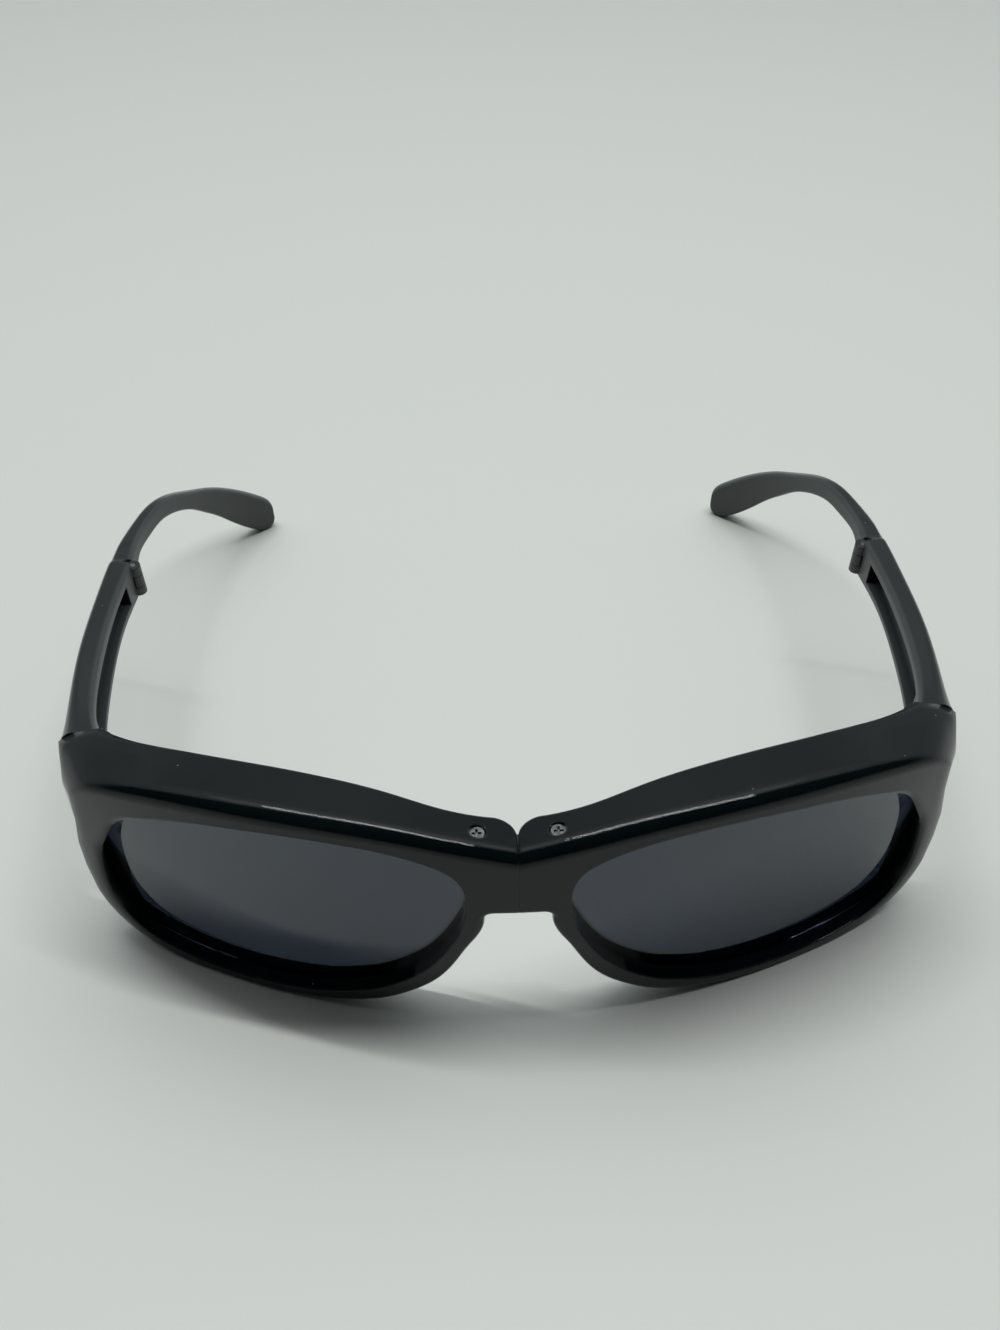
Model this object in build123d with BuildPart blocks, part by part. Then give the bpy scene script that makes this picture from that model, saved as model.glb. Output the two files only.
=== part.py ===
from build123d import *
from math import asin, cos, degrees, radians, sin, tan
import os

os.makedirs("parts", exist_ok=True)

# Foldable fitover sunglasses, open and standing on their rims and temple tips.
# X runs to the wearer's left, Y from the lenses back to the ears, Z up from the table.
# The wearer's left side is modelled and mirrored to make the right side.

# Front frame, each half
half_width = 76.0        # centre seam to the side of the frame at the temple hinge
front_height = 52.0      # table to the brow line, read at the front face
seam_depth = 31.0        # bridge face back to the temple seam
wrap_share = 1.83        # radius of the front face seen from above, over the half width
corner_reach = 5.5       # width that the rounded outer corner takes up
corner_radius = 8.0
side_angle = 74.0        # side wall seen from above, against the X axis
face_lean = 0.035        # the front face leans back by this much for each mm of height
brow_slope = 0.2         # the brow falls towards the rear by this much for each mm
rim_depth = 6.0          # front face to the back of the rim
side_wall = 2.6
brow_wall = 2.8
bridge_rear = 8.2        # rear face of the bridge
bridge_share = 0.583     # underside of the bridge, as a share of the front height
block_share = 0.113      # solid block round the bridge screw, as a share of the half width
seam_gap = 0.02          # each half stands this far off the centre plane at the front
seam_taper = 0.25        # extra opening of the seam at the rear
bridge_corner = 3.4      # rounded rear corner beside the seam
notch = 0.5              # small notch under the seam
brow_edge = 2.4          # rounding of the edge between brow and front face
rim_edge_share = 0.023   # rounding of the outer edge of the rim, over the front height
shoulder_angle = 58.0    # the outer brow corner is rounded square to this line, seen from above
shoulder_turn = 80.0     # part of a quarter ellipse that the rounding follows
shoulder_fall = 0.27     # fall of the rounding towards the temple for each mm
shoulder_reach = 8.0     # how far in from the corner the rounding starts
shoulder_drop = 6.5      # how far down the side it ends
overrun = 4.0            # how far cutting shapes run past what they cut
opening_margin = 0.4     # the lens opening is cut this much past the back of the rim

# Lens and its groove
lens_thickness = 1.8
lens_recess = 2.6        # front face to the lens
lens_lip = 1.2           # depth of the groove round the opening
lens_clearance = 0.06

# Bridge hinge
bridge_pivot_share = 0.0816   # centre seam to the bridge screw, over the half width
bridge_pivot_y = 4.4
link_radius = 1.9
link_thickness = 2.6
link_share = 0.762       # underside of the link, as a share of the front height
link_gap = 0.1           # free play above and below the link
link_room = 0.25         # free room round the link
screw_radius = 0.7
screw_fit = 0.04         # radial clearance on a shank
screw_head_radius = 1.2
screw_head_height = 0.8
screw_head_sink = 0.35
screw_head_room = 0.15
screw_end_share = 0.685  # lower end of the bridge screw, as a share of the front height
cross_width = 0.36       # cross recess in the screw heads
cross_length = 1.5
cross_depth = 0.4

# Temple hinge, three knuckles on an upright screw
temple_root = 7.0        # width of the temple at the seam
knuckle_radius = 1.9
knuckle_gap = 0.12       # free play between knuckles
knuckle_room = 0.25      # free room round a knuckle
hinge_bottom_share = 0.573    # foot of the barrel, as a share of the front height
hinge_height_share = 0.181    # height of the barrel, as a share of the front height
hinge_middle_share = 0.32     # height of the middle knuckle, as a share of the barrel
hinge_block = 3.8        # depth of the block that carries the knuckles
temple_gap = 0.2         # seam between frame and temple
hinge_head_radius = 1.5
hinge_head_height = 0.7

# Temple arm, from the seam to the tip
arm_reach = 106.5        # seam to the rearmost point of the tip
tip_tuck = 20.5          # how far the tip comes in from the seam
temple_share = 0.447     # share of the outer line taken by the front section
arm_web = 1.7            # outer wall left by the channel
arm_rail = 2.2           # top rail over the channel
arm_flange = 2.0         # flange under the channel
channel_start = 5.0
channel_end = 6.0        # solid stretch between channel and middle hinge
channel_stages = 4
arm_round = 1.1          # rounded long edges
arm_width = 4.7
arm_top_share = 0.787    # table to the top of the arm at the seam, over the front height

# Middle hinge of the arm
pin_radius = 0.6
joint_radius = 1.5
joint_middle = 2.6
joint_gap = 0.12
joint_room = 0.25
ear_gap = 0.2            # seam between the two arm sections


# Lower outline of one half from the seam under the bridge round the rim to the side,
# as shares of the half width and the front height.
rim_nose_shares = [(0.05, 0.583), (0.071, 0.53), (0.103, 0.413), (0.164, 0.24), (0.25, 0.119),
                   (0.362, 0.042), (0.5, 0.008), (0.6, 0.0)]
rim_side_shares = [(0.71, 0.0), (0.825, 0.04), (0.905, 0.15), (0.95, 0.29), (0.99, 0.43),
                   (1.04, 0.6), (1.06, 0.81)]
# Brow line, read at the front face before the brow slopes away.
brow_shares = [(0.0, 0.863), (0.145, 0.925), (0.26, 0.966), (0.37, 0.988), (0.5, 1.0),
               (0.62, 0.999), (0.75, 0.98), (0.88, 0.936), (0.95, 0.913), (1.07, 0.89)]
# Opening for the lens, as seen from the front.
lens_shares = [(0.108, 0.62), (0.14, 0.765), (0.27, 0.868), (0.43, 0.898), (0.6, 0.882),
               (0.76, 0.815), (0.862, 0.69), (0.886, 0.5), (0.85, 0.27), (0.74, 0.105),
               (0.6, 0.066), (0.46, 0.09), (0.33, 0.155), (0.22, 0.27), (0.143, 0.43)]
# Rear edge of the brow, as shares of the half width and the seam depth.
rear_shares = [(0.16, 0.275), (0.26, 0.345), (0.45, 0.49), (0.64, 0.648), (0.75, 0.765),
               (0.86, 0.925), (0.897, 1.0)]
# Outer line of the arm from above, as shares of the tip tuck and the reach.
arm_plan_shares = [(0.0, 0.0), (0.078, 0.16), (0.122, 0.329), (0.117, 0.498), (0.059, 0.629),
                   (-0.073, 0.751), (-0.293, 0.859), (-0.61, 0.944), (-1.0, 1.0)]

# Front section of the arm, row by row from the seam: share of its length, then width as a
# share of the arm width, foot and top as shares of the arm top, and the radius of the outer
# top edge as a share of the edge rounding.
temple_shares = [(0.0, 1.49, 0.714, 1.0, 2.9), (0.12, 1.13, 0.704, 0.971, 2.7),
                 (0.32, 0.98, 0.694, 0.949, 1.7), (0.62, 0.94, 0.687, 0.91, 1.2),
                 (0.8, 0.96, 0.667, 0.881, 1.1), (1.0, 1.0, 0.631, 0.854, 1.0)]
# Ear section in the same terms, with the share of the whole outer line in the first column.
ear_shares = [(temple_share, 0.94, 0.697, 0.852, 1.0), (0.496, 0.83, 0.711, 0.83, 1.0),
              (0.549, 0.72, 0.704, 0.806, 1.0), (0.602, 0.66, 0.67, 0.779, 1.0),
              (0.655, 0.64, 0.641, 0.75, 1.0), (0.699, 0.64, 0.597, 0.709, 1.0),
              (0.743, 0.64, 0.534, 0.65, 1.0), (0.779, 0.64, 0.466, 0.592, 1.0),
              (0.814, 0.64, 0.379, 0.536, 1.0), (0.85, 0.65, 0.286, 0.481, 1.0),
              (0.885, 0.66, 0.18, 0.42, 1.0), (0.92, 0.66, 0.083, 0.35, 1.0),
              (0.947, 0.66, 0.024, 0.291, 1.0), (0.969, 0.64, -0.004, 0.24, 1.0),
              (0.987, 0.6, 0.005, 0.194, 1.0), (0.996, 0.55, 0.04, 0.155, 1.0)]


def spread(shares, across, up):
    return [(share_x * across, share_y * up) for share_x, share_y in shares]


def grown(points, margin):
    """Closed row of points moved outward by a margin, square to the line past each point."""
    moved = []
    for before, point, after in zip(points[-1:] + points[:-1], points, points[1:] + points[:1]):
        along = Vector(after[0] - before[0], after[1] - before[1]).normalized()
        moved.append((point[0] - margin * along.Y, point[1] + margin * along.X))
    return moved


def between(table, share):
    """Row of a table at this share, straight between its rows."""
    for low, high in zip(table, table[1:]):
        if share <= high[0]:
            part = (share - low[0]) / (high[0] - low[0])
            return [a + part * (b - a) for a, b in zip(low, high)]
    return list(table[-1])


def leaning(height):
    """Plane at this height, moved so that what rises from it leans with the front face."""
    return Plane((0, face_lean * (height - front_height), height))


def rise(solid_height):
    """Amount that lifts a leaning solid by this height."""
    return solid_height * (1 + face_lean ** 2) ** 0.5


lean_direction = (0, face_lean, 1)
brow_direction = (0, 1, -brow_slope)
front_top = front_height + overrun
bridge_bottom = bridge_share * front_height
bridge_block = block_share * half_width
bridge_pivot_x = bridge_pivot_share * half_width
rim_edge = rim_edge_share * front_height
link_bottom = link_share * front_height
bridge_screw_end = screw_end_share * front_height
hinge_bottom = hinge_bottom_share * front_height
hinge_height = hinge_height_share * front_height
hinge_middle = hinge_middle_share * hinge_height
arm_top = arm_top_share * front_height
wrap_radius = wrap_share * half_width
wrap_angle = degrees(asin((half_width - corner_reach) / wrap_radius))
seam_angle = degrees(asin(seam_gap / wrap_radius))
corner_x = half_width - corner_reach
corner_y = wrap_radius * (1 - cos(radians(wrap_angle)))
side_x = corner_x + corner_radius * (sin(radians(side_angle)) - sin(radians(wrap_angle)))
side_y = corner_y + corner_radius * (cos(radians(wrap_angle)) - cos(radians(side_angle)))
seam_x = side_x + (seam_depth - side_y) / tan(radians(side_angle))
hinge_x = seam_x - temple_root
hinge_y = seam_depth + temple_gap / 2
hinge_centre = hinge_bottom + hinge_height / 2
brow_points = spread(brow_shares, half_width, front_height)
lens_points = spread(lens_shares, half_width, front_height)


def seen_from_front():
    """Upright plane ahead of the bridge; what it extrudes runs back to the temple seam."""
    return Plane.XZ.offset(overrun)


def wrapped_strip(near, far):
    """Solid between two depths behind the front face, over the whole height."""
    with BuildPart() as strip:
        with BuildSketch(leaning(-overrun)):
            with Locations((0, wrap_radius)):
                Circle(wrap_radius - near)
                Circle(wrap_radius - far, mode=Mode.SUBTRACT)
            with Locations((half_width / 2, seam_depth / 2)):
                Rectangle(half_width, 2 * half_width, mode=Mode.INTERSECT)
        extrude(amount=rise(front_top + 2 * overrun), dir=lean_direction)
    return strip.part


def lens_blank(margin, near, far):
    """The shape of the lens opening grown by a margin, between two depths."""
    strip = wrapped_strip(near, far)
    with BuildPart() as blank:
        with BuildSketch(Plane.XZ):
            with BuildLine():
                Spline(*grown(lens_points, margin), periodic=True)
            make_face()
        extrude(amount=half_width, both=True)
        add(strip, mode=Mode.INTERSECT)
    return blank.part


def under_brow(drop):
    """Solid under the brow line lowered by a drop, sloping back as the brow does."""
    with BuildPart() as under:
        with BuildSketch(seen_from_front()):
            with BuildLine():
                lowered = [(x, z - drop + overrun * brow_slope) for x, z in brow_points]
                foot = -half_width
                Spline(*lowered)
                Polyline(lowered[-1], (lowered[-1][0], foot), (0, foot), lowered[0])
            make_face()
        extrude(amount=(half_width + overrun) * (1 + brow_slope ** 2) ** 0.5,
                dir=brow_direction)
    return under.part


def upright(x, y, low, high, radius):
    """Upright cylinder between two heights."""
    return Pos(x, y, (low + high) / 2) * Cylinder(radius, high - low, mode=Mode.PRIVATE)


def brow_height(x, y):
    """Height of the brow surface above a point of the plan."""
    return between(brow_shares, x / half_width)[1] * front_height - brow_slope * y


# Rounding of the outer brow corner, carried along a line that falls towards the temple
corner_centre = Vector(corner_x - corner_radius * sin(radians(wrap_angle)),
                       corner_y + corner_radius * cos(radians(wrap_angle)))
shoulder_out = Vector(sin(radians(shoulder_angle)), -cos(radians(shoulder_angle)))
shoulder_along = Vector(cos(radians(shoulder_angle)), sin(radians(shoulder_angle)))
turn_across = shoulder_reach * cos(radians(shoulder_turn))
turn_up = shoulder_drop * sin(radians(shoulder_turn))
shoulder_middle = corner_centre + shoulder_out * (corner_radius - shoulder_reach)
meeting = shoulder_middle + shoulder_out * turn_across
shoulder_height = brow_height(meeting.X, meeting.Y) - turn_up
shoulder_line = (shoulder_along - Vector(0, 0, shoulder_fall)).normalized()
with BuildPart() as shoulder:
    start = shoulder_middle + Vector(0, 0, shoulder_height) - shoulder_line * half_width
    with BuildSketch(Plane(start, x_dir=shoulder_out, z_dir=-shoulder_along)):
        with BuildLine():
            crown_arc = EllipticalCenterArc((0, 0), shoulder_reach, shoulder_drop,
                                            start_angle=0, arc_size=shoulder_turn)
            inner_end = crown_arc @ 1 + crown_arc % 1 * (2 * half_width)
            Polyline(crown_arc @ 1, inner_end, (inner_end.X, -2 * front_height),
                     (shoulder_reach, -2 * front_height), crown_arc @ 0)
        make_face()
    extrude(amount=2 * half_width, dir=shoulder_line)

# One half of the front before it is hollowed: plan, outline and brow together
brow_body = under_brow(0)
inner_body = under_brow(brow_wall)
with BuildPart() as front_block:
    with BuildSketch(leaning(-overrun)):
        with BuildLine():
            face = CenterArc((0, wrap_radius), wrap_radius, seam_angle - 90,
                             wrap_angle - seam_angle)
            corner = CenterArc(corner_centre, corner_radius, wrap_angle - 90,
                               side_angle - wrap_angle)
            side_end_y = seam_depth + overrun
            side_end_x = seam_x + overrun / tan(radians(side_angle))
            rear_points = spread(rear_shares, half_width, seam_depth)
            Polyline(corner @ 1, (side_end_x, side_end_y), (rear_points[-1][0], side_end_y),
                     rear_points[-1])
            rear_start = (seam_gap + seam_taper + bridge_corner, bridge_rear)
            Spline(*rear_points[::-1], rear_start)
            bend = (seam_gap + seam_taper, bridge_rear - bridge_corner)
            CenterArc((rear_start[0], bend[1]), bridge_corner, 90, 90)
            Line(bend, face @ 0)
        make_face()
    extrude(amount=rise(front_top + 2 * overrun), dir=lean_direction)
    with BuildSketch(seen_from_front()):
        with BuildLine():
            nose_points = spread(rim_nose_shares, half_width, front_height)
            side_points = spread(rim_side_shares, half_width, front_height)
            notch_side = (seam_gap + notch, bridge_bottom)
            Line(notch_side, nose_points[0])
            Spline(*nose_points, tangents=[(1, 0), (1, 0)])
            Line(nose_points[-1], side_points[0])
            Spline(*side_points, tangents=[(1, 0), (0, 1)])
            Polyline(side_points[-1], (side_points[-1][0], front_top), (0, front_top),
                     (0, bridge_bottom + notch), notch_side)
        make_face()
    extrude(amount=-(seam_depth + overrun), mode=Mode.INTERSECT)
    add(brow_body, mode=Mode.INTERSECT)
    front_face = max(faces(), key=lambda side: -side.normal_at().Y * side.area)
    fillet(front_face.edges().sort_by(Axis.Z)[-1], brow_edge)
    front_face = max(faces(), key=lambda side: -side.normal_at().Y * side.area)
    fillet(front_face.edges().sort_by(Axis.Z)[0], rim_edge)
    add(shoulder.part, mode=Mode.INTERSECT)

# Space behind the rim, under the brow and inside the side wall
with BuildPart() as cavity:
    with BuildSketch(leaning(-overrun)):
        with Locations((0, wrap_radius)):
            Circle(wrap_radius - rim_depth)
        with BuildLine():
            inner_y = side_y + side_wall * cos(radians(side_angle))
            inner_x = side_x - side_wall * sin(radians(side_angle))
            run_x = 1 / tan(radians(side_angle))
            far_y = seam_depth + 2 * overrun
            Polyline((bridge_block, 0), (inner_x - inner_y * run_x, 0),
                     (inner_x + (far_y - inner_y) * run_x, far_y), (bridge_block, far_y),
                     close=True)
        make_face(mode=Mode.INTERSECT)
    extrude(amount=rise(front_top + 2 * overrun), dir=lean_direction)
    add(inner_body, mode=Mode.INTERSECT)

# Block inside the side wall that carries the temple hinge
with BuildPart() as hinge_mount:
    add(front_block.part)
    with Locations((seam_x, seam_depth - hinge_block / 2, front_top)):
        Box(2 * temple_root, hinge_block, 2 * (front_top - hinge_bottom), mode=Mode.INTERSECT)

# Half front of the wearer's left side
head_top = brow_height(bridge_pivot_x, bridge_pivot_y) - screw_head_sink
middle_low = hinge_centre - hinge_middle / 2
middle_high = hinge_centre + hinge_middle / 2
lens_opening = lens_blank(0, -overrun, rim_depth + opening_margin)
lens_groove = lens_blank(lens_lip, lens_recess - lens_clearance,
                         lens_recess + lens_thickness + lens_clearance)
with BuildPart() as left_half_front:
    add(front_block.part)
    add(cavity.part, mode=Mode.SUBTRACT)
    add(hinge_mount.part)
    # the side wall sweeps down and forward from the hinge to the rim
    with BuildSketch(Plane.YZ.offset(corner_x - corner_radius)):
        with BuildLine():
            wing_rear = (seam_depth + overrun, hinge_bottom - hinge_head_height)
            wing_start = (seam_depth, hinge_bottom - hinge_head_height)
            wing_foot = (corner_y + face_lean, -overrun)
            ThreePointArc(wing_start, (corner_y + rim_depth + overrun, front_height / 4),
                          wing_foot)
            Polyline(wing_foot, (wing_rear[0], -overrun), wing_rear, wing_start)
        make_face()
    extrude(amount=2 * corner_radius, mode=Mode.SUBTRACT)
    # lens opening and the groove that holds the lens
    add(lens_opening, mode=Mode.SUBTRACT)
    add(lens_groove, mode=Mode.SUBTRACT)
    # slot for the bridge link, open at the seam and at the rear
    slot_low = link_bottom - link_gap
    slot_high = link_bottom + link_thickness + link_gap
    slot_radius = link_radius + link_room
    add(upright(bridge_pivot_x, bridge_pivot_y, slot_low, slot_high, slot_radius),
        mode=Mode.SUBTRACT)
    with Locations(((bridge_pivot_x - overrun) / 2,
                    bridge_pivot_y - slot_radius + bridge_rear / 2,
                    (slot_low + slot_high) / 2)):
        Box(bridge_pivot_x + overrun, bridge_rear, slot_high - slot_low, mode=Mode.SUBTRACT)
    # hole and sunk seat for the bridge screw
    add(upright(bridge_pivot_x, bridge_pivot_y, bridge_screw_end - screw_head_sink, front_top,
                screw_radius + screw_fit), mode=Mode.SUBTRACT)
    add(upright(bridge_pivot_x, bridge_pivot_y, head_top - screw_head_height, front_top,
                screw_head_radius + screw_head_room), mode=Mode.SUBTRACT)
    # upper and lower knuckles of the temple hinge
    add(upright(hinge_x, hinge_y, hinge_bottom, hinge_bottom + hinge_height, knuckle_radius))
    add(upright(hinge_x, hinge_y, middle_low - knuckle_gap, middle_high + knuckle_gap,
                knuckle_radius + knuckle_room), mode=Mode.SUBTRACT)
    add(upright(hinge_x, hinge_y, hinge_bottom - hinge_head_height,
                hinge_bottom + hinge_height - knuckle_gap, screw_radius + screw_fit),
        mode=Mode.SUBTRACT)

left_lens = lens_blank(lens_lip - lens_clearance, lens_recess, lens_recess + lens_thickness)

# Link that joins the two halves across the seam
with BuildPart() as bridge_link:
    with BuildSketch(Plane.XY.offset(link_bottom)):
        SlotCenterToCenter(2 * bridge_pivot_x, 2 * link_radius)
        with Locations((bridge_pivot_x, 0), (-bridge_pivot_x, 0)):
            Circle(screw_radius + screw_fit, mode=Mode.SUBTRACT)
    extrude(amount=link_thickness)


def screw(head_radius, head_height, end):
    """Upright screw with its head between zero and the head's height, and a cross recess."""
    with BuildPart() as fastener:
        add(upright(0, 0, 0, head_height, head_radius))
        add(upright(0, 0, -end, 0, screw_radius))
        with Locations((0, 0, head_height)):
            Box(cross_length, cross_width, 2 * cross_depth, mode=Mode.SUBTRACT)
            Box(cross_width, cross_length, 2 * cross_depth, mode=Mode.SUBTRACT)
    return fastener.part


# Outer line of the arm from above
with BuildLine() as arm_line:
    arm_points = spread(arm_plan_shares, tip_tuck, arm_reach)
    Spline(*[(seam_x + x, seam_depth + y) for x, y in arm_points])
arm_edge = arm_line.edges()[0]


def across_arm(share, width, foot, top):
    """Plane across the arm at a share of its outer line, centred on the section there."""
    outer = arm_edge @ share
    along = arm_edge % share
    outward = Vector(along.Y, -along.X, 0)
    centre = outer - outward * (width / 2) + Vector(0, 0, (foot + top) / 2)
    return Plane(centre, x_dir=outward, z_dir=-along)


def arm_section(place, width, height, crown):
    """Section of the arm on a plane, its outer top corner rounded by the crown radius."""
    with BuildSketch(place) as section:
        Rectangle(width, height)
        corners = section.vertices().sort_by(lambda corner: corner.X + corner.Y)
        fillet(corners[-1], crown)
        fillet(section.vertices().sort_by(lambda corner: corner.X + corner.Y)[0], arm_round)
        sides = section.vertices().sort_by(lambda corner: corner.X - corner.Y)
        fillet([sides[0], sides[-1]], arm_round)
    return section.sketch


def arm_rows(shares):
    return [(share, width * arm_width, foot * arm_top, top * arm_top, crown * arm_round)
            for share, width, foot, top, crown in shares]


line_length = arm_edge.length
temple_length = temple_share * line_length
temple_rows = arm_rows(temple_shares)
ear_rows = arm_rows(ear_shares)
split_point = arm_edge @ temple_share
split_width, split_foot, split_top = temple_rows[-1][1:4]
joint_x = split_point.X - split_width
joint_y = split_point.Y
joint_foot = split_foot + arm_round
joint_top = split_top - arm_round
joint_low = (joint_foot + joint_top - joint_middle) / 2
joint_high = joint_low + joint_middle

temple_outlines = []
for share, width, foot, top, crown in temple_rows:
    reach = temple_gap + share * (temple_length - temple_gap - ear_gap / 2)
    place = across_arm(reach / line_length, width, foot, top)
    if not share:
        place = Plane((place.origin.X, seam_depth + temple_gap, place.origin.Z),
                      x_dir=(1, 0, 0), z_dir=(0, -1, 0))
    temple_outlines.append(arm_section(place, width, top - foot, crown))
ear_outlines = []
for share, width, foot, top, crown in ear_rows:
    start = max(share, (temple_length + ear_gap / 2) / line_length)
    ear_outlines.append(arm_section(across_arm(start, width, foot, top), width, top - foot,
                                    crown))

# Front section of the wearer's left arm
with BuildPart() as left_temple:
    loft(temple_outlines)
    # channel in the inner face
    channel_span = temple_length - channel_start - channel_end
    for stage in range(channel_stages + 1):
        reach = channel_start + channel_span * stage / channel_stages
        width, foot, top = between(temple_rows, reach / temple_length)[1:4]
        with BuildSketch(across_arm(reach / line_length, width, foot, top)):
            with Locations((-(arm_web + overrun) / 2, (arm_flange - arm_rail) / 2)):
                RectangleRounded(width - arm_web + overrun, top - foot - arm_rail - arm_flange,
                                 arm_round)
    loft(mode=Mode.SUBTRACT)
    # middle knuckle of the temple hinge, clear of the two knuckles of the frame
    for low, high in ((hinge_bottom - overrun, middle_low - knuckle_gap),
                      (middle_high + knuckle_gap, hinge_bottom + hinge_height + knuckle_gap)):
        add(upright(hinge_x, hinge_y, low, high, knuckle_radius + knuckle_room),
            mode=Mode.SUBTRACT)
    add(upright(hinge_x, hinge_y, middle_low, middle_high, knuckle_radius))
    add(upright(hinge_x, hinge_y, hinge_bottom - overrun, hinge_bottom + hinge_height,
                screw_radius + screw_fit), mode=Mode.SUBTRACT)
    # upper and lower knuckles of the middle hinge
    add(upright(joint_x, joint_y, joint_foot, joint_top, joint_radius))
    add(upright(joint_x, joint_y, joint_low - joint_gap, joint_high + joint_gap,
                joint_radius + joint_room), mode=Mode.SUBTRACT)
    add(upright(joint_x, joint_y, joint_foot - overrun, joint_top + overrun,
                pin_radius + screw_fit), mode=Mode.SUBTRACT)

# Ear section of the wearer's left arm
with BuildPart() as left_ear_piece:
    loft(ear_outlines)
    # the tip stands on the table
    split(bisect_by=Plane.XY, keep=Keep.TOP)
    for low, high in ((joint_foot - overrun, joint_low - joint_gap),
                      (joint_high + joint_gap, joint_top + overrun)):
        add(upright(joint_x, joint_y, low, high, joint_radius + joint_room),
            mode=Mode.SUBTRACT)
    add(upright(joint_x, joint_y, joint_low, joint_high, joint_radius))
    add(upright(joint_x, joint_y, joint_low - overrun, joint_high + overrun,
                pin_radius + screw_fit), mode=Mode.SUBTRACT)

bridge_screw = screw(screw_head_radius, screw_head_height,
                     head_top - screw_head_height - bridge_screw_end)
hinge_screw = screw(hinge_head_radius, hinge_head_height,
                    hinge_height - hinge_head_height)
left_pieces = {
    "half_front": left_half_front.part,
    "lens": left_lens,
    "bridge_screw": Pos(bridge_pivot_x, bridge_pivot_y, head_top - screw_head_height)
    * bridge_screw,
    "hinge_screw": Pos(hinge_x, hinge_y, hinge_bottom) * Rot(180, 0, 0) * hinge_screw,
    "temple": left_temple.part,
    "ear_piece": left_ear_piece.part,
    "joint_pin": upright(joint_x, joint_y, joint_foot, joint_top, pin_radius),
}
# The whole object stands with the middle of its depth on the origin
front_end = left_half_front.part.bounding_box().min.Y
rear_end = left_ear_piece.part.bounding_box().max.Y
centred = Pos(0, -(front_end + rear_end) / 2, 0)
for name, piece in left_pieces.items():
    placed = centred * piece
    for side_name, copy in (("left", placed), ("right", mirror(placed, about=Plane.YZ))):
        copy.label = side_name + "_" + name
        export_step(copy, "parts/" + copy.label + ".step")
link = centred * Pos(0, bridge_pivot_y, 0) * bridge_link.part
link.label = "bridge_link"
export_step(link, "parts/bridge_link.step")
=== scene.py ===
import math

import bpy
import numpy as np
from mathutils import Matrix, Vector


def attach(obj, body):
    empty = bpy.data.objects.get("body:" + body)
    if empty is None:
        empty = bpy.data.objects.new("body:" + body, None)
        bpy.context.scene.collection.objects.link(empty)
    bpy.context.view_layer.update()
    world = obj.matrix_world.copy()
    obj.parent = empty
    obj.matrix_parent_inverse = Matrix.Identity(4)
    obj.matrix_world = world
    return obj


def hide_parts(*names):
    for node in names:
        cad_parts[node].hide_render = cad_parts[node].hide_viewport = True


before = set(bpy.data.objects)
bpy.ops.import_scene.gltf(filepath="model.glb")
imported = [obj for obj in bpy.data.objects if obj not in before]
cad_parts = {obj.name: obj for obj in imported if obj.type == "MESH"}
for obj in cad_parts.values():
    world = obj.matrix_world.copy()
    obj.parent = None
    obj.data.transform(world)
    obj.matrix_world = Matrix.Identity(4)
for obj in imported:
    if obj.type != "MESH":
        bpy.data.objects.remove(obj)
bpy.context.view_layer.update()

# Half fronts: two mirrored mouldings of gloss black plastic, each a rim, half of the
# bridge, the brow shelf and the side wing in one piece. The mould is polished, so the
# skin is glossy, with faint handling smudges and a few specks of dust.
MM = 0.001
SIDES = ("left", "right")
HALF_WIDTH = 76 * MM
FRONT_HEIGHT = 52 * MM

# Places on a half front, in shares of its width and height. A row of the first table gives
# a place on the CAD solid and then the same place on the photographed rim, first round the
# lower outer corner and then round the lens opening. The second table has places that stay.
MOVED_SHARES = (
    (0.71, 0.0, 0.73, 0.0), (0.825, 0.04, 0.834, 0.0165), (0.905, 0.15, 0.9454, 0.107),
    (0.95, 0.29, 0.985, 0.267), (0.99, 0.43, 1.004, 0.4235),
    (0.108, 0.62, 0.109, 0.62), (0.14, 0.765, 0.132, 0.775), (0.27, 0.868, 0.268, 0.875),
    (0.43, 0.898, 0.43, 0.895), (0.6, 0.882, 0.598, 0.868), (0.76, 0.815, 0.755, 0.797),
    (0.862, 0.69, 0.856, 0.688), (0.886, 0.5, 0.913, 0.5), (0.85, 0.27, 0.926, 0.21),
    (0.805, 0.175, 0.868, 0.0885), (0.74, 0.105, 0.7605, 0.0513), (0.6, 0.066, 0.605, 0.044),
    (0.46, 0.09, 0.45, 0.065), (0.33, 0.155, 0.318, 0.133), (0.22, 0.27, 0.206, 0.268),
    (0.143, 0.43, 0.14, 0.432))
STILL_SHARES = (
    (0.0, 0.583), (0.05, 0.583), (0.071, 0.53), (0.103, 0.413), (0.164, 0.24), (0.25, 0.119),
    (0.362, 0.042), (0.5, 0.008), (0.6, 0.0), (0.0, 0.863), (0.145, 0.925), (0.26, 0.966),
    (0.37, 0.988), (0.5, 1.0), (0.62, 0.999), (0.75, 0.98), (0.88, 0.936), (0.95, 0.913),
    (1.03, 0.89), (0.9, 0.6), (0.97, 0.6), (1.04, 0.6), (0.9, 0.76), (0.97, 0.76), (1.04, 0.76))

# Seen from above, the front face is an arc from the bridge plane to the wrap's end, and
# runs straight on from there. The seam widens from front to rear, where its corners are
# rounded. Each side closes by this much, because the photographed seam is narrower.
BRIDGE_PLANE = -68.26 * MM
WRAP_RADIUS = 139.1 * MM
WRAP_END = 70.5 * MM
SEAM_FRONT = 0.02 * MM
SEAM_REAR = 0.27 * MM
SEAM_CORNER = 3.4 * MM
SEAM_CLOSED = 0.13 * MM

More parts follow.
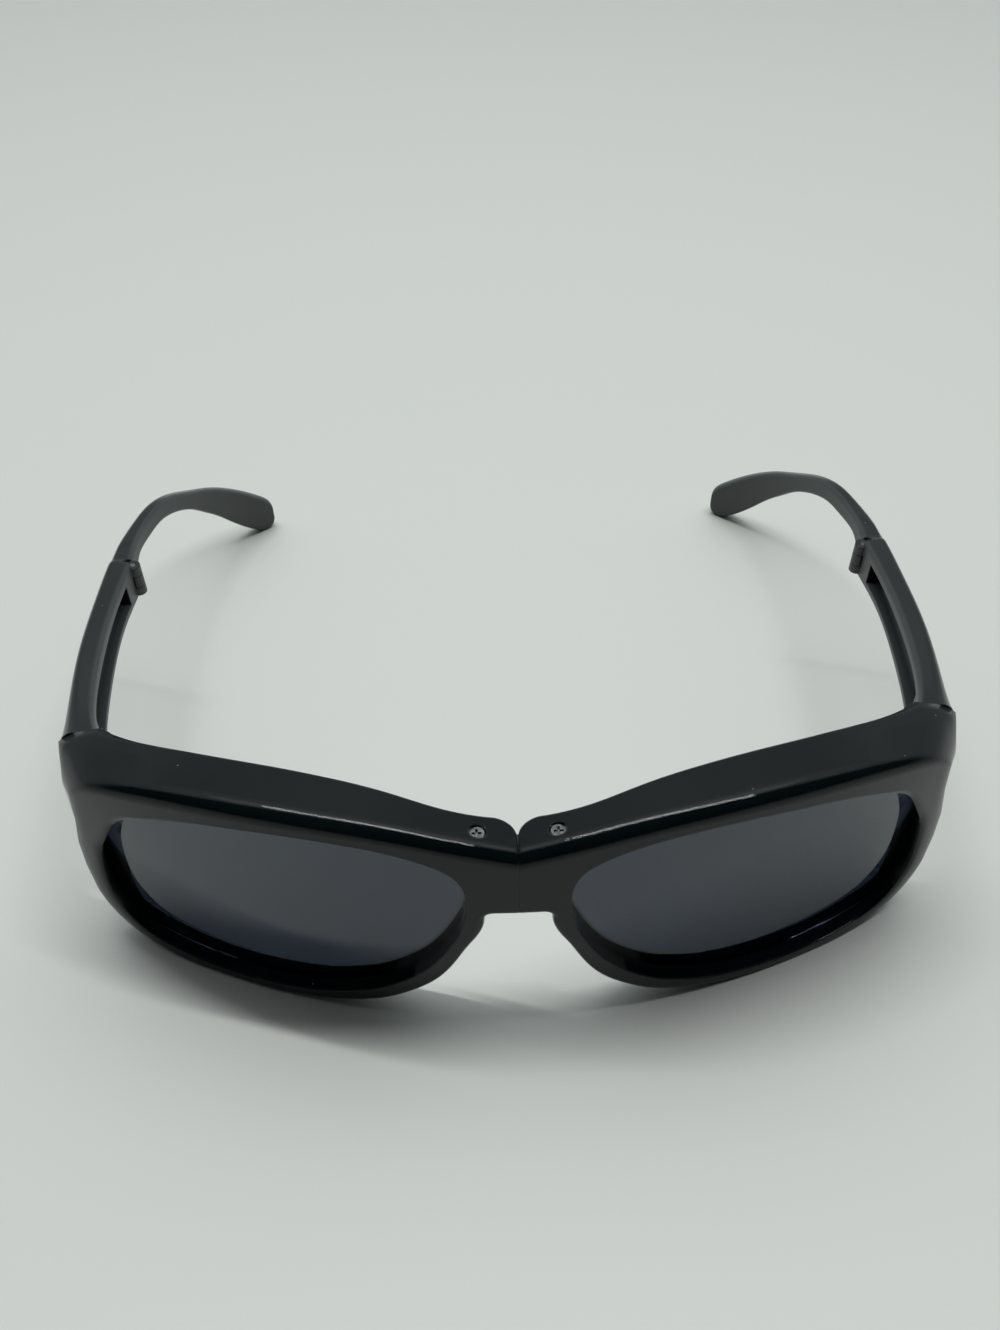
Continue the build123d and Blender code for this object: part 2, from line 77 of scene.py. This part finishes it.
# The outer brow corner swells, and the bend fades behind the rim, where the folded ear
# piece passes. A pair is where an effect starts and where it is whole, and depths count
# from the bridge plane.
CORNER_SWELL = 1.5 * MM
SWELL_REACH = (66 * MM, 71 * MM)
SWELL_FOOT = (12 * MM, 26 * MM)
SWELL_TOP = (43 * MM, 31 * MM)
SWELL_DEPTH = (27 * MM, 20 * MM)
FADED_SHARE = 0.75
FADE_DEPTH = (19 * MM, 23 * MM)
FADE_REACH = (60 * MM, 66 * MM)
FADE_TOP = (26 * MM, 16 * MM)

# A flat plate's shift and its slopes over width and height; the shortest distance that
# still has a logarithm; the step over which the bend's slope is read
FLAT_TERMS = 3
LEAST_DISTANCE = 1e-9
SLOPE_STEP = 0.001 * MM


def plate(distance):
    """The bending of a thin plate at a distance from a pushed point."""
    return distance ** 2 * np.log(np.maximum(distance, LEAST_DISTANCE))


def spans(points, centres):
    """The distance from each point to each centre."""
    return np.linalg.norm(points[:, None, :] - centres[None, :, :], axis=2)


def plate_weights(places, moves):
    """The weights with which a thin plate makes these moves at these places."""
    count = len(places)
    size = count + FLAT_TERMS
    system = np.zeros((size, size))
    system[:count, :count] = plate(spans(places, places))
    system[:count, count] = 1
    system[:count, count + 1:] = places
    system[count:, :count] = system[:count, count:].T
    return np.linalg.solve(system, np.vstack((moves, np.zeros((FLAT_TERMS, 2)))))


# both tables in half widths, sideways and upwards alike, so that distances are true
pairs = np.array(MOVED_SHARES + tuple((*spot, *spot) for spot in STILL_SHARES))
pairs *= (HALF_WIDTH, FRONT_HEIGHT, HALF_WIDTH, FRONT_HEIGHT)
pairs /= HALF_WIDTH
PUSHED = pairs[:, :2]
weights = plate_weights(PUSHED, pairs[:, 2:] - PUSHED)
BENDS, SHIFT, SLOPES = weights[:-FLAT_TERMS], weights[-FLAT_TERMS], weights[-2:]


def wrap_depth(x):
    """How far the wrapped front face lies behind the bridge at this distance from it."""
    near = np.minimum(x, WRAP_END)
    slope = WRAP_END / math.sqrt(WRAP_RADIUS ** 2 - WRAP_END ** 2)
    return WRAP_RADIUS - np.sqrt(WRAP_RADIUS ** 2 - near ** 2) + slope * (x - near)


def ease(value, start, end):
    """Smooth step from 0 at the start to 1 at the end."""
    part = np.clip((value - start) / (end - start), 0, 1)
    return part * part * (3 - 2 * part)


def photographed(points):
    """Points of a half front moved to the photographed rim, opening, corner and seam."""
    x, y, z = np.abs(points[:, 0]), points[:, 1], points[:, 2]
    depth = y - BRIDGE_PLANE
    flat = np.stack((x, z), axis=1) / HALF_WIDTH
    bent = plate(spans(flat, PUSHED)) @ BENDS + SHIFT + flat @ SLOPES
    fading = ease(depth, *FADE_DEPTH) * ease(x, *FADE_REACH) * ease(z, *FADE_TOP)
    bent *= (HALF_WIDTH * (1 - FADED_SHARE * fading))[:, None]
    swell = (ease(x, *SWELL_REACH) * ease(z, *SWELL_FOOT) * ease(z, *SWELL_TOP)
             * ease(depth, *SWELL_DEPTH))
    new_x, new_z = x + bent[:, 0] + CORNER_SWELL * swell, z + bent[:, 1]
    new_y = y + wrap_depth(new_x) - wrap_depth(x)
    beside_seam = np.clip(1 - (x - SEAM_REAR) / SEAM_CORNER, 0, 1)
    in_seam = np.clip((x - SEAM_FRONT) / (SEAM_REAR - SEAM_FRONT), 0, 1)
    new_x = new_x - SEAM_CLOSED * beside_seam * in_seam
    return np.stack((np.sign(points[:, 0]) * new_x, new_y, new_z), axis=1)


def turned_normals(mesh, points, moved):
    """The corner normals of a mesh, turned as the bend turns its surface."""
    stretch = np.stack([(photographed(points + SLOPE_STEP * axis) - moved) / SLOPE_STEP
                        for axis in np.eye(3)], axis=2)
    corners = np.empty(len(mesh.loops), dtype=int)
    mesh.loops.foreach_get("vertex_index", corners)
    normals = np.empty(3 * len(mesh.loops))
    mesh.corner_normals.foreach_get("vector", normals)
    turn = np.linalg.inv(stretch).transpose(0, 2, 1)[corners]
    normals = np.einsum("nij,nj->ni", turn, normals.reshape(-1, 3))
    return normals / np.linalg.norm(normals, axis=1)[:, None]


def reshaped(name, body):
    """A new piece in a node's place, bent to the photographed shape and kept above the table."""
    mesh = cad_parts[name].data.copy()
    points = np.empty(3 * len(mesh.vertices))
    mesh.vertices.foreach_get("co", points)
    points = points.reshape(-1, 3)
    moved = photographed(points)
    normals = turned_normals(mesh, points, moved)
    moved[:, 2] = np.maximum(moved[:, 2], 0)
    mesh.vertices.foreach_set("co", moved.ravel())
    mesh.update()
    mesh.normals_split_custom_set(normals.tolist())
    piece = bpy.data.objects.new(name + "_shape", mesh)
    bpy.context.scene.collection.objects.link(piece)
    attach(piece, body)
    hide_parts(name)


def new_group(name, inputs, outputs):
    """An empty node group with these sockets, its input node and its output node."""
    tree = bpy.data.node_groups.new(name, "ShaderNodeTree")
    for label, kind, value in inputs:
        socket = tree.interface.new_socket(label, in_out="INPUT", socket_type=kind)
        socket.default_value = value
    for label, kind in outputs:
        tree.interface.new_socket(label, in_out="OUTPUT", socket_type=kind)
    return tree, tree.nodes.new("NodeGroupInput"), tree.nodes.new("NodeGroupOutput")


def object_noise(tree, scale, detail):
    """Noise over the object's own coordinates, its scale fed by a socket."""
    place = tree.nodes.new("ShaderNodeTexCoord")
    noise = tree.nodes.new("ShaderNodeTexNoise")
    tree.links.new(place.outputs["Object"], noise.inputs["Vector"])
    tree.links.new(scale, noise.inputs["Scale"])
    noise.inputs["Detail"].default_value = detail
    return noise.outputs["Fac"]


def separated(tree, vector):
    """The X, Y and Z of a vector socket, by name."""
    node = tree.nodes.new("ShaderNodeSeparateXYZ")
    tree.links.new(vector, node.inputs["Vector"])
    return node.outputs


def spread_value(tree, value, span, onto=(0.0, 1.0)):
    """A value moved from one span onto another, each limit a socket or a number."""
    node = tree.nodes.new("ShaderNodeMapRange")
    tree.links.new(value, node.inputs["Value"])
    for label, limit in zip(("From Min", "From Max", "To Min", "To Max"), (*span, *onto)):
        if isinstance(limit, bpy.types.NodeSocket):
            tree.links.new(limit, node.inputs[label])
        else:
            node.inputs[label].default_value = limit
    return node.outputs["Result"]


def worked_out(tree, operation, *values):
    """The result of this operation on one or two value sockets."""
    node = tree.nodes.new("ShaderNodeMath")
    node.operation = operation
    for value, socket in zip(values, node.inputs):
        tree.links.new(value, socket)
    return node.outputs["Value"]


def mix_colours(tree, mask, first, second):
    """Mix two colours by a mask; each colour is a socket or a tuple."""
    node = tree.nodes.new("ShaderNodeMix")
    node.data_type = "RGBA"
    tree.links.new(mask, node.inputs["Factor"])
    for label, colour in (("A", first), ("B", second)):
        socket = next(s for s in node.inputs if s.name == label and s.type == "RGBA")
        if isinstance(colour, bpy.types.NodeSocket):
            tree.links.new(colour, socket)
        else:
            socket.default_value = (*colour, 1)
    return next(s for s in node.outputs if s.type == "RGBA")


# Slow change of tone over a moulding
CLOUD_SPAN = (0.35, 0.65)
TONE, source, result = new_group(
    "moulding tone",
    [("Dark", "NodeSocketColor", (0, 0, 0, 1)), ("Light", "NodeSocketColor", (1, 1, 1, 1)),
     ("Scale", "NodeSocketFloat", 60.0)],
    [("Colour", "NodeSocketColor")])
cloud = object_noise(TONE, source.outputs["Scale"], detail=3)
TONE.links.new(
    mix_colours(TONE, spread_value(TONE, cloud, CLOUD_SPAN),
                source.outputs["Dark"], source.outputs["Light"]),
    result.inputs["Colour"])

# Smudges that raise the roughness in soft patches
PATCH_SPAN = (0.4, 0.75)
SMUDGE, source, result = new_group(
    "handling smudges",
    [("Clean", "NodeSocketFloat", 0.1), ("Smudged", "NodeSocketFloat", 0.2),
     ("Scale", "NodeSocketFloat", 90.0)],
    [("Roughness", "NodeSocketFloat")])
patches = object_noise(SMUDGE, source.outputs["Scale"], detail=6)
SMUDGE.links.new(
    spread_value(SMUDGE, patches, PATCH_SPAN,
                 (source.outputs["Clean"], source.outputs["Smudged"])),
    result.inputs["Roughness"])

# Lighter edges where the piece is handled, and their softened normal. The span is how far
# the softened normal agrees with the true one.
EDGE_SPAN = (0.98, 0.75)
EDGE_SAMPLES = 4
EDGE, source, result = new_group(
    "worn edge",
    [("Radius", "NodeSocketFloat", 0.0004), ("Amount", "NodeSocketFloat", 0.3)],
    [("Mask", "NodeSocketFloat"), ("Normal", "NodeSocketVector")])
rounded = EDGE.nodes.new("ShaderNodeBevel")
rounded.samples = EDGE_SAMPLES
EDGE.links.new(source.outputs["Radius"], rounded.inputs["Radius"])
skin = EDGE.nodes.new("ShaderNodeNewGeometry")
agreement = EDGE.nodes.new("ShaderNodeVectorMath")
agreement.operation = "DOT_PRODUCT"
EDGE.links.new(rounded.outputs["Normal"], agreement.inputs[0])
EDGE.links.new(skin.outputs["Normal"], agreement.inputs[1])
EDGE.links.new(
    spread_value(EDGE, agreement.outputs["Value"], EDGE_SPAN, (0.0, source.outputs["Amount"])),
    result.inputs["Mask"])
EDGE.links.new(rounded.outputs["Normal"], result.inputs["Normal"])

# A few specks of dust that lie on what faces up. Each cell of the pattern could hold a
# speck at its middle, and few cells do.
LYING_SPAN = (0.3, 0.9)
SPECK_SPAN = (0.09, 0.05)
RARE_SPAN = (0.85, 0.87)
DUST, source, result = new_group(
    "settled dust",
    [("Size", "NodeSocketFloat", 900.0), ("Amount", "NodeSocketFloat", 0.5)],
    [("Mask", "NodeSocketFloat")])
place = DUST.nodes.new("ShaderNodeTexCoord")
cells = DUST.nodes.new("ShaderNodeTexVoronoi")
DUST.links.new(place.outputs["Object"], cells.inputs["Vector"])
DUST.links.new(source.outputs["Size"], cells.inputs["Scale"])
skin = DUST.nodes.new("ShaderNodeNewGeometry")
upward = separated(DUST, skin.outputs["Normal"])["Z"]
lying = spread_value(DUST, upward, LYING_SPAN, (0.0, source.outputs["Amount"]))
speck = spread_value(DUST, cells.outputs["Distance"], SPECK_SPAN)
cell = DUST.nodes.new("ShaderNodeSeparateColor")
DUST.links.new(cells.outputs["Color"], cell.inputs["Color"])
rare = spread_value(DUST, cell.outputs["Red"], RARE_SPAN)
lying_speck = worked_out(DUST, "MULTIPLY", lying, speck)
DUST.links.new(worked_out(DUST, "MULTIPLY", lying_speck, rare), result.inputs["Mask"])


def place_group(tree, group, **values):
    """A node group placed in a material, with plain numbers or colours on its sockets."""
    node = tree.nodes.new("ShaderNodeGroup")
    node.node_tree = group
    for label, value in values.items():
        node.inputs[label].default_value = value
    return node


def plain_material(name):
    """A material with its tree and its Principled node."""
    material = bpy.data.materials.new(name)
    material.use_nodes = True
    tree = material.node_tree
    return material, tree, tree.nodes["Principled BSDF"]


PLASTIC_DUST = (0.35, 0.36, 0.36)


def moulded_plastic(name, dark, light, worn, clean, smudged, edge_radius, index):
    """Moulded plastic with a slow tone, smudges, softly worn edges and dust."""
    material, tree, surface = plain_material(name)
    tone = place_group(tree, TONE, Dark=(*dark, 1), Light=(*light, 1), Scale=60)
    edge = place_group(tree, EDGE, Radius=edge_radius, Amount=0.35)
    dust = place_group(tree, DUST, Size=420, Amount=0.35)
    smudge = place_group(tree, SMUDGE, Clean=clean, Smudged=smudged, Scale=90)
    with_edge = mix_colours(tree, edge.outputs["Mask"], tone.outputs["Colour"], worn)
    with_dust = mix_colours(tree, dust.outputs["Mask"], with_edge, PLASTIC_DUST)
    tree.links.new(with_dust, surface.inputs["Base Color"])
    tree.links.new(smudge.outputs["Roughness"], surface.inputs["Roughness"])
    tree.links.new(edge.outputs["Normal"], surface.inputs["Normal"])
    surface.inputs["IOR"].default_value = index
    return material


def finish_with(material, *names):
    """Give carried-over nodes of the frame this material."""
    for name in names:
        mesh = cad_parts[name].data
        mesh.materials.clear()
        mesh.materials.append(material)


# The moulding's edges are crisp up to this reach and get softer at its outer corners
EDGE_RADII = (0.5 * MM, 2.6 * MM)
SOFTER_REACH = (60 * MM, 70 * MM)
gloss_black = moulded_plastic(
    "gloss black plastic", dark=(0.002, 0.0045, 0.0055), light=(0.003, 0.006, 0.007),
    worn=(0.012, 0.015, 0.016), clean=0.03, smudged=0.07, edge_radius=EDGE_RADII[0],
    index=1.34)
tree = gloss_black.node_tree
place = tree.nodes.new("ShaderNodeTexCoord")
reach = worked_out(tree, "ABSOLUTE", separated(tree, place.outputs["Object"])["X"])
worn_edge = next(node for node in tree.nodes if node.type == "GROUP" and node.node_tree == EDGE)
tree.links.new(spread_value(tree, reach, SOFTER_REACH, EDGE_RADII), worn_edge.inputs["Radius"])
for side in SIDES:
    finish_with(gloss_black, side + "_half_front")
    reshaped(side + "_half_front", side + "_front")

# Bridge link: a small moulded link in a slot across the seam, held by one screw in each
# half. It shows only behind the bridge, and its mould is less polished.
link_black = moulded_plastic(
    "satin black plastic", dark=(0.01, 0.011, 0.011), light=(0.014, 0.015, 0.015),
    worn=(0.04, 0.041, 0.041), clean=0.3, smudged=0.42, edge_radius=0.15 * MM, index=1.45)
finish_with(link_black, "bridge_link")

# Lenses: smoke grey sheets cut to the rim's opening and pressed into its groove. They
# are polished on both faces and tinted through, so little light passes.
LENS_DUST = (0.5, 0.5, 0.5)
lens_smoke, tree, surface = plain_material("smoke lens")
tint = place_group(tree, TONE, Dark=(0.02, 0.027, 0.041, 1), Light=(0.024, 0.032, 0.048, 1),
                   Scale=30)
dust = place_group(tree, DUST, Size=500, Amount=0.2)
smudge = place_group(tree, SMUDGE, Clean=0.02, Smudged=0.06, Scale=60)
tree.links.new(mix_colours(tree, dust.outputs["Mask"], tint.outputs["Colour"], LENS_DUST),
               surface.inputs["Base Color"])
tree.links.new(smudge.outputs["Roughness"], surface.inputs["Roughness"])
surface.inputs["IOR"].default_value = 1.56
surface.inputs["Transmission Weight"].default_value = 1.0
for side in SIDES:
    finish_with(lens_smoke, side + "_lens")
    reshaped(side + "_lens", side + "_front")

# Arms: the channelled front sections and the thin ear sections are moulded in the same
# black plastic as the fronts, a little duller from handling. The faces towards the head
# and the channel come satin from the mould, and their colour is a painted light grey
# that stands in for the light and reflections they catch.
INNER_PAINTED_LIGHT = (0.045, 0.052, 0.053)
INNER_ROUGHNESS = 0.4
FLANGE_HEIGHT = 33 * MM

# Where the sides meet, how far an inner face looks outward, and how far a flange looks up
MIDDLE_SPAN = (-MM, MM)
INNER_SPAN = (-0.1, -0.6)
FLANGE_SPAN = (0.5, 0.8)


def arm_plastic(name, has_channel):
    """Handled black plastic with satin inner faces, on the channel's flange too; there its colour
    is a painted light grey.
    """
    material = moulded_plastic(
        name, dark=(0.004, 0.0065, 0.0072), light=(0.006, 0.009, 0.0095),
        worn=(0.02, 0.023, 0.024), clean=0.08, smudged=0.18, edge_radius=0.4 * MM, index=1.48)
    tree = material.node_tree
    place = tree.nodes.new("ShaderNodeTexCoord")
    spot = separated(tree, place.outputs["Object"])
    facing = separated(tree, place.outputs["Normal"])
    side = spread_value(tree, spot["X"], MIDDLE_SPAN, (-1.0, 1.0))
    outward = worked_out(tree, "MULTIPLY", side, facing["X"])
    inner = spread_value(tree, outward, INNER_SPAN)
    # On the channel's flange, the upward faces low on the arm join in, painted lighter as if lit
    # from above.
    if has_channel:
        low = spread_value(tree, spot["Z"], (FLANGE_HEIGHT, FLANGE_HEIGHT - MM))
        upward = spread_value(tree, facing["Z"], FLANGE_SPAN)
        flange = worked_out(tree, "MULTIPLY", low, upward)
        inner = worked_out(tree, "MAXIMUM", inner, flange)
    surface = tree.nodes["Principled BSDF"]
    colour, roughness = surface.inputs["Base Color"], surface.inputs["Roughness"]
    # Inner faces and the flange get a painted light grey in place of the light they catch, and a
    # satin roughness.
    tree.links.new(mix_colours(tree, inner, colour.links[0].from_socket, INNER_PAINTED_LIGHT), colour)
    outer_roughness = roughness.links[0].from_socket
    tree.links.new(
        spread_value(tree, inner, (0.0, 1.0), (outer_roughness, INNER_ROUGHNESS)), roughness)
    return material


finish_with(arm_plastic("handled black plastic, channelled", has_channel=True),
            *[side + "_temple" for side in SIDES])
finish_with(arm_plastic("handled black plastic", has_channel=False),
            *[side + "_ear_piece" for side in SIDES])

# Screws and pins: turned steel, the screws with a cross recess pressed into a low head.
# They sit in the moulded barrels and in the two sunk seats beside the seam.
RUBBED_STEEL = (0.4, 0.4, 0.395)
bright_steel, tree, surface = plain_material("bright turned steel")
tone = place_group(tree, TONE, Dark=(0.1, 0.1, 0.1, 1), Light=(0.2, 0.2, 0.197, 1), Scale=900)
edge = place_group(tree, EDGE, Radius=0.08 * MM, Amount=0.6)
smudge = place_group(tree, SMUDGE, Clean=0.2, Smudged=0.36, Scale=1500)
tree.links.new(mix_colours(tree, edge.outputs["Mask"], tone.outputs["Colour"], RUBBED_STEEL),
               surface.inputs["Base Color"])
tree.links.new(smudge.outputs["Roughness"], surface.inputs["Roughness"])
tree.links.new(edge.outputs["Normal"], surface.inputs["Normal"])
surface.inputs["Metallic"].default_value = 1.0
finish_with(bright_steel, *[side + piece for side in SIDES
                            for piece in ("_bridge_screw", "_hinge_screw", "_joint_pin")])

# Table and light: a plain pale table top, a pale wall and soft lights behind and over the
# object, and a dark room in front of it, so the plastic shows bright and dark bands. Looked
# at directly, the room is one plain pale backdrop.
FLOOR_SIZE = 6.0
FLOOR_PALE = (0.72, 0.75, 0.715, 1)
FLOOR_ROUGHNESS = 0.5
bpy.ops.mesh.primitive_plane_add(size=FLOOR_SIZE)
floor = bpy.context.object
floor.name = "table_top"
pale, tree, surface = plain_material("pale table top")
surface.inputs["Base Color"].default_value = FLOOR_PALE
surface.inputs["Roughness"].default_value = FLOOR_ROUGHNESS
floor.data.materials.append(pale)

ROOM_DARK = (0.012, 0.014, 0.014)
ROOM_WALL = (0.36, 0.385, 0.395)
ROOM_HIGH = (0.85, 0.885, 0.895)
BACKDROP = (0.6, 0.63, 0.61)
BEHIND_SPAN = (0.0, 0.1)
RAISED_SPAN = (0.4, 0.75)
world = bpy.data.worlds.new("room")
world.use_nodes = True
bpy.context.scene.world = world
tree = world.node_tree
light = tree.nodes["Background"]
place = tree.nodes.new("ShaderNodeTexCoord")
direction = separated(tree, place.outputs["Generated"])
behind = spread_value(tree, direction["Y"], BEHIND_SPAN)
raised = spread_value(tree, direction["Z"], RAISED_SPAN)
wall = mix_colours(tree, raised, ROOM_WALL, ROOM_HIGH)
room = mix_colours(tree, behind, ROOM_DARK, wall)
ray = tree.nodes.new("ShaderNodeLightPath")
tree.links.new(mix_colours(tree, ray.outputs["Is Camera Ray"], room, BACKDROP),
               light.inputs["Color"])
light.inputs["Strength"].default_value = 1.0


def soft_light(name, place, aim, width, depth, watts):
    """A rectangular area light that points at a place."""
    lamp = bpy.data.lights.new(name, "AREA")
    lamp.shape = "RECTANGLE"
    lamp.size = width
    lamp.size_y = depth
    lamp.energy = watts
    shown = bpy.data.objects.new(name, lamp)
    shown.location = place
    shown.rotation_euler = (Vector(aim) - Vector(place)).to_track_quat("-Z", "Y").to_euler()
    bpy.context.scene.collection.objects.link(shown)


soft_light("ceiling panel", place=(0, 0.3, 1.0), aim=(0, 0.1, 0), width=1.2, depth=0.4, watts=1.0)
soft_light("ceiling strip", place=(0.03, 0.1, 1.0), aim=(0, 0, 0), width=0.9, depth=0.03, watts=4.9)

# Camera: above the front of the object, looking down at it, a little off its middle. Its
# lens and sensor are in millimetres as they stand.
CAMERA_PLACE = Vector((-5.4, -171.4, 192.6)) * MM
CAMERA_YAW = math.radians(1.61)
CAMERA_PITCH = math.radians(45.89)
CAMERA_ROLL = math.radians(-0.65)
CAMERA_LENS = 43.2
CAMERA_SENSOR = 36.0
CAMERA_NEAR = 10 * MM
forward = Vector((math.sin(CAMERA_YAW) * math.cos(CAMERA_PITCH),
                  math.cos(CAMERA_YAW) * math.cos(CAMERA_PITCH), -math.sin(CAMERA_PITCH)))
level = Vector((math.cos(CAMERA_YAW), -math.sin(CAMERA_YAW), 0))
across = level * math.cos(CAMERA_ROLL) + level.cross(forward) * math.sin(CAMERA_ROLL)
above = across.cross(forward)
optics = bpy.data.cameras.new("photo camera")
optics.lens = CAMERA_LENS
optics.sensor_width = CAMERA_SENSOR
optics.sensor_fit = "HORIZONTAL"
optics.clip_start = CAMERA_NEAR
camera = bpy.data.objects.new("photo camera", optics)
camera.matrix_world = Matrix((
    (across.x, above.x, -forward.x, CAMERA_PLACE.x),
    (across.y, above.y, -forward.y, CAMERA_PLACE.y),
    (across.z, above.z, -forward.z, CAMERA_PLACE.z),
    (0, 0, 0, 1)))
bpy.context.scene.collection.objects.link(camera)
bpy.context.scene.camera = camera
bpy.context.scene.view_settings.view_transform = "Standard"
